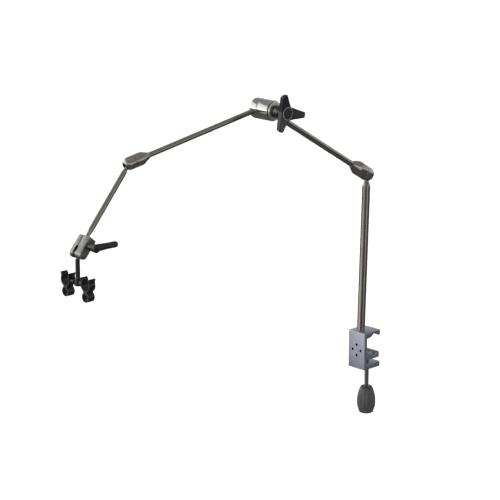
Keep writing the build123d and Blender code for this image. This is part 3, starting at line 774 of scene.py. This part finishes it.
def star_handle(material, cap_material, rim_painted_highlight):
    """Three lobes and a round middle as one moulding, with its flat cover and a paler band on the cover's
    rim that is a painted highlight.
    """
    lobes = [knob_lobe(radians(angle)) for angle in LOBE_ANGLES]
    middle = [(0, 33.2), (11, 33.2), (11, 36.8), (13.2, 37.4), (13.2, LOBE_FRONT), (0, LOBE_FRONT)]
    parts = [spun("middle", middle, ACROSS_HUB, steps=72)] + lobes
    knob = moulded_form("star_handle", parts, 0.55, 3)
    carve(knob, drum(COVER_R + 0.2, 43.1, 60, ACROSS_HUB, steps=72))
    fit(knob, "knob", ["star_knob"], material)
    disc = [
        (0, 43.2), (COVER_R, 43.2), (COVER_R, 45.1), (10.8, 45.7), (10.2, 45.9), (9.2, 45.9), (8.8, 45.5),
        (8.4, 45.15), (5.6, 45.2), (0, 45.35),
    ]
    cover = spun("knob_cover", disc, ACROSS_HUB, steps=72)
    fit(cover, "knob", ["knob_cap"], cap_material)

    # A paler grey band over the cover's raised rim: painted highlight.
    rim = [(9.4, 45.6), (11.0, 45.0), (COVER_R, 45.2), (10.8, 45.8), (10.2, 46.0), (9.4, 45.95)]
    band = spun("knob_cover_rim", rim, ACROSS_HUB, steps=72, closed=True)
    fit(band, "knob", [], rim_painted_highlight)


# ---------------------------------------------------------------- tip rod, block and lever
TIP_R, PIN_R = 4.25, 3
BLOCK_HALF, BLOCK_TOP = 7.5, -28.8
BOLT_Z, BOLT_R, BOLT_HEAD_R = -15.3, 2.65, 4.3
SEAT_R = 5.6
SLOT_HALF, SLOT_TOP, SLOT_FOOT = 3.2, -7.4, 9.7


def tip_shaft(material):
    """Rod with a coned shoulder at each end and the block's pin."""
    corners = [
        (0, 12.1), (3.4, 12.1), (TIP_R, 17.1), (TIP_R, 122), (PIN_R, 128), (PIN_R, 141.5), (0, 141.5),
    ]
    outline = rounded(corners, 0.8)
    fit(spun("tip_shaft", outline, ON_TIP, steps=56), "tip", ["tip_rod"], material)


def slot_cutter(half, top, near, far):
    """Round-ended slot open at the block's lower end, run along its Y axis."""
    outline = [(half, SLOT_FOOT), (-half, SLOT_FOOT)]
    for turn in range(0, 181, 12):
        outline.append((-half * cos(radians(turn)), top - half * sin(radians(turn))))
    upright = ON_BLOCK @ Matrix.Rotation(pi / 2, 4, "Z")
    return new_object("cutter", extruded(outline, near, far), upright)


def block_plate(name, node, low, high, material):
    """Clamp half with a round lower end, ball seat, stem slot and bolt bore."""
    half = BLOCK_HALF
    outline = [(-half, BLOCK_TOP), (half, BLOCK_TOP)]
    outline += [(half * cos(radians(turn)), half * sin(radians(turn))) for turn in range(0, 181, 10)]
    bm = extruded(rounded(outline, 0.7, closed=True), low, high, bevel=0.5)
    piece = new_object(name, bm, ON_BLOCK)
    seat = bmesh.new()
    bmesh.ops.create_icosphere(seat, subdivisions=4, radius=SEAT_R)
    bolt = [(0, low - 1), (3.1, low - 1), (BOLT_R, low + 0.5), (BOLT_R, high + 1), (0, high + 1)]
    bolt_place = ON_BLOCK @ Matrix.Translation((0, 0, BOLT_Z)) @ Matrix.Rotation(pi / 2, 4, "Y")
    cutters = [
        new_object("cutter", seat, ON_BLOCK),
        slot_cutter(SLOT_HALF, 0, -9, 9.3),
        slot_cutter(SLOT_HALF + 0.05, SLOT_TOP, 0.05, 9.1),
        spun("cutter", bolt, bolt_place, steps=40),
    ]
    if low < -1:
        cutters.append(drum(BOLT_HEAD_R, low - 1, low + 3.5, bolt_place))
    carve(piece, *cutters)
    fit(piece, "tip", [node], material)


LEVER_HUB = (16.7, 36.0)
LEVER_ROOT, LEVER_END = Vector((29.8, 0, 0)), Vector((40.0, 31.3, 2.6))
LEVER_TIP_R = 5.0


def lever(material):
    """Coned hub across the block with a tapering handle that leans outwards."""
    across = Matrix.Translation(LEVER_AXIS) @ Matrix.Rotation(pi / 2, 4, "Y") @ Matrix.Scale(MM, 4)
    near, far = LEVER_HUB
    corners = [(0, near), (5.4, near), (6.8, far - 1.2), (5.6, far), (0, far)]
    hub = spun("hub", rounded(corners, 1.0), across, steps=56)
    start = LEVER_AXIS + LEVER_ROOT * MM
    end = LEVER_AXIS + LEVER_END * MM
    reach = (end - start).length / MM
    tip = LEVER_TIP_R
    shaft = [(0, 0), (6.2, 0), (5.9, 6), (tip, 0.55 * reach), (tip, reach)]
    shaft += arc(tip, 90, 0, 10, reach)[1:]
    handle = spun("handle", shaft, along_any(start, end - start), steps=56)
    piece = moulded_form("lever_arm", [hub, handle], 0.35, 6)
    fit(piece, "lever", ["lever_handle"], material)


def along_any(start, direction):
    """Matrix whose Z axis runs along any direction."""
    turn = Vector(direction).to_track_quat("Z", "X").to_matrix().to_4x4()
    return Matrix.Translation(start) @ turn @ Matrix.Scale(MM, 4)


# ---------------------------------------------------------------- stem and hose clips
BAR_DROP = -46.0
CLIP_X = 24.0
CLIP_OUTER, CLIP_INNER, CLIP_MOUTH, CLIP_DEPTH = 10.2, 7.9, 7.0, 12.9
BOSS_DROP, BOSS_R, LUG_R = 18.2, 8.0, 5.0


def clip_stem(material):
    """Moulded stem that swells into the round hub for the cross bar."""
    outline = [
        (0, -9), (3.0, -9), (3.6, -9.8), (3.6, -37), (4.2, -39.4), (5.4, -40.9), (6.2, -42.0),
        (6.2, -50), (5.4, -51), (0, -51),
    ]
    piece = spun("clip_stem", outline, ON_STEM, steps=56)
    fit(piece, "stem", ["stem"], material)


def hose_clip(side, name, node, body, material):
    """C clip with flared lips on a round boss, one moulding."""
    outer, inner, mouth, half = CLIP_OUTER, CLIP_INNER, CLIP_MOUTH, CLIP_DEPTH / 2
    place = ON_STEM @ Matrix.Translation((side * CLIP_X, 0, BAR_DROP))
    upright = place @ Matrix.Rotation(pi / 2, 4, "Z")

    opening_out = degrees(atan2(mouth, (outer ** 2 - mouth ** 2) ** 0.5))
    opening_in = degrees(atan2(mouth, (inner ** 2 - mouth ** 2) ** 0.5))
    count = 44
    ring = []
    for index in range(count + 1):
        turn = radians(opening_out + (360 - 2 * opening_out) * index / count)
        ring.append((outer * sin(turn), outer * cos(turn)))
    for index in range(count + 1):
        turn = radians(360 - opening_in - (360 - 2 * opening_in) * index / count)
        ring.append((inner * sin(turn), inner * cos(turn)))
    parts = [new_object("ring", extruded(ring, -half, half), upright)]
    back = mouth + 2.4
    arm = ((mouth, 3.6), (mouth, 8), (9.2, 12.2), (10.7, 11.3), (back, 7.4), (back, 3.6))
    for sign in (-1, 1):
        lip = [(sign * u, v) for u, v in arm]
        parts.append(new_object("lip", extruded(lip, -half, half), upright))
    facing = place @ Matrix.Rotation(pi / 2, 4, "X")
    boss_at = Matrix.Translation((0, -BOSS_DROP, 0))
    parts.append(drum(BOSS_R, -half, half, facing @ boss_at, steps=64))
    parts.append(brick((-4.5, 4.5), (-half, half), (-11.6, -8.1), place))
    inward = place @ Matrix.Rotation(-side * pi / 2, 4, "Y")
    parts.append(drum(LUG_R, 8.8, CLIP_X - 6.6, inward, steps=48))
    piece = moulded_form(name, parts, 0.3, 3)
    front = spun("cutter", [(0, 4.4), (5.4, 4.4), (5.7, 9), (0, 9)], facing @ boss_at, steps=56)
    carve(piece, front)
    fit(piece, body, [node], material)


# ---------------------------------------------------------------- finishes for the CAD pieces that stay
def dress_nodes(finishes):
    """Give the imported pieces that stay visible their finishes."""
    for nodes, material in finishes:
        for name in nodes:
            mesh = frame["nodes"][name].data
            mesh.materials.clear()
            mesh.materials.append(material)


# How far each tube leans, in degrees from +Y towards +Z, so that its scratches run along it.
TUBE_LEANS = (
    ("satin_post_tube", 88.2), ("satin_lower_tube", 148.9), ("satin_upper_tube", 9.85),
    ("satin_tip_rod", 229.26),
)


def main():
    studio()
    aluminium = bead_blasted_anodised_aluminium()
    post_finish, lower_finish, upper_finish, tip_finish = [
        satin_stainless(name, radians(lean)) for name, lean in TUBE_LEANS
    ]
    turned_steel = lathe_turned_steel("turned_stainless_housing")
    polished = mirror_polished_stainless()
    # Paler metal for the hub's end ring: a painted highlight.
    painted_ring_highlight = ring_painted_highlight()
    # Black oxide for the clip screws and bar, also painted shade inside the clamp's plate holes.
    black_oxide_and_hole_shade = lathe_turned_steel("black_oxide_steel_and_hole_shade", "#1b1b1c", "#232324")
    dark_steel_and_groove_shade = lathe_turned_steel("burnished_dark_steel_and_groove_shade", "#4a4846", "#585654")
    # Burnished dark steel for the knob neck and the elbow seams, also painted shade in the hub's end
    # groove.
    ground = ground_steel()
    zinc = zinc_plated_steel()
    brass = turned_brass()
    fibre = pressed_friction_fibre()
    grip = moulded("soft_grip_moulding", "#333333", "#40403f", 0.36, 0.52, relief=0.35)
    nylon = moulded("black_glass_filled_nylon", "#0d0d0f", "#131315", 0.28, 0.42)
    cover = moulded("grey_nylon_cover", "#19191b", "#212123", 0.30, 0.42)
    # Paler grey for the knob cover's rim band: a painted highlight.
    trim = moulded("grey_nylon_rim_painted_highlight", "#626266", "#6c6c70", 0.35, 0.45)
    gloss = moulded("gloss_black_polycarbonate", "#0b0b0c", "#111113", 0.12, 0.22, relief=0.04)

    clamp_frame(aluminium, black_oxide_and_hole_shade)
    sliding_jaw(aluminium)
    jack_screw(zinc)
    barrel_grip(grip)
    holding_post(post_finish)
    ball_studs(zinc)
    elbow("lower", ON_LOWER, turned_steel, dark_steel_and_groove_shade)
    elbow("upper", ON_UPPER, turned_steel, dark_steel_and_groove_shade)
    hub_drums(polished, painted_ring_highlight, zinc, dark_steel_and_groove_shade)
    star_handle(nylon, cover, trim)
    tip_shaft(tip_finish)
    block_plate("block_far_half", "block_left", -10.0, -0.5, ground)
    block_plate("block_near_half", "block_right", 0.5, 15.5, ground)
    lever(nylon)
    clip_stem(gloss)
    hose_clip(-1, "left_hose_clip", "left_clip", "left_clip", gloss)
    hose_clip(1, "right_hose_clip", "right_clip", "right_clip", gloss)
    dress_nodes((
        (("lower_tube",), lower_finish),
        (("upper_tube",), upper_finish),
        (("post_grub_screw", "jaw_retaining_ring", "block_bolt", "lever_washer", "lower_push_rod",
          "upper_push_rod", "hub_bolt", "hub_end_cap"), zinc),
        (("left_clip_screw", "right_clip_screw", "clip_bar"), black_oxide_and_hole_shade),
        (("grip_insert", "knob_insert", "lever_insert", "lower_brake_cup", "upper_brake_cup",
          "lower_wedge", "upper_wedge"), brass),
        (("hub_friction_disc",), fibre),
    ))


main()
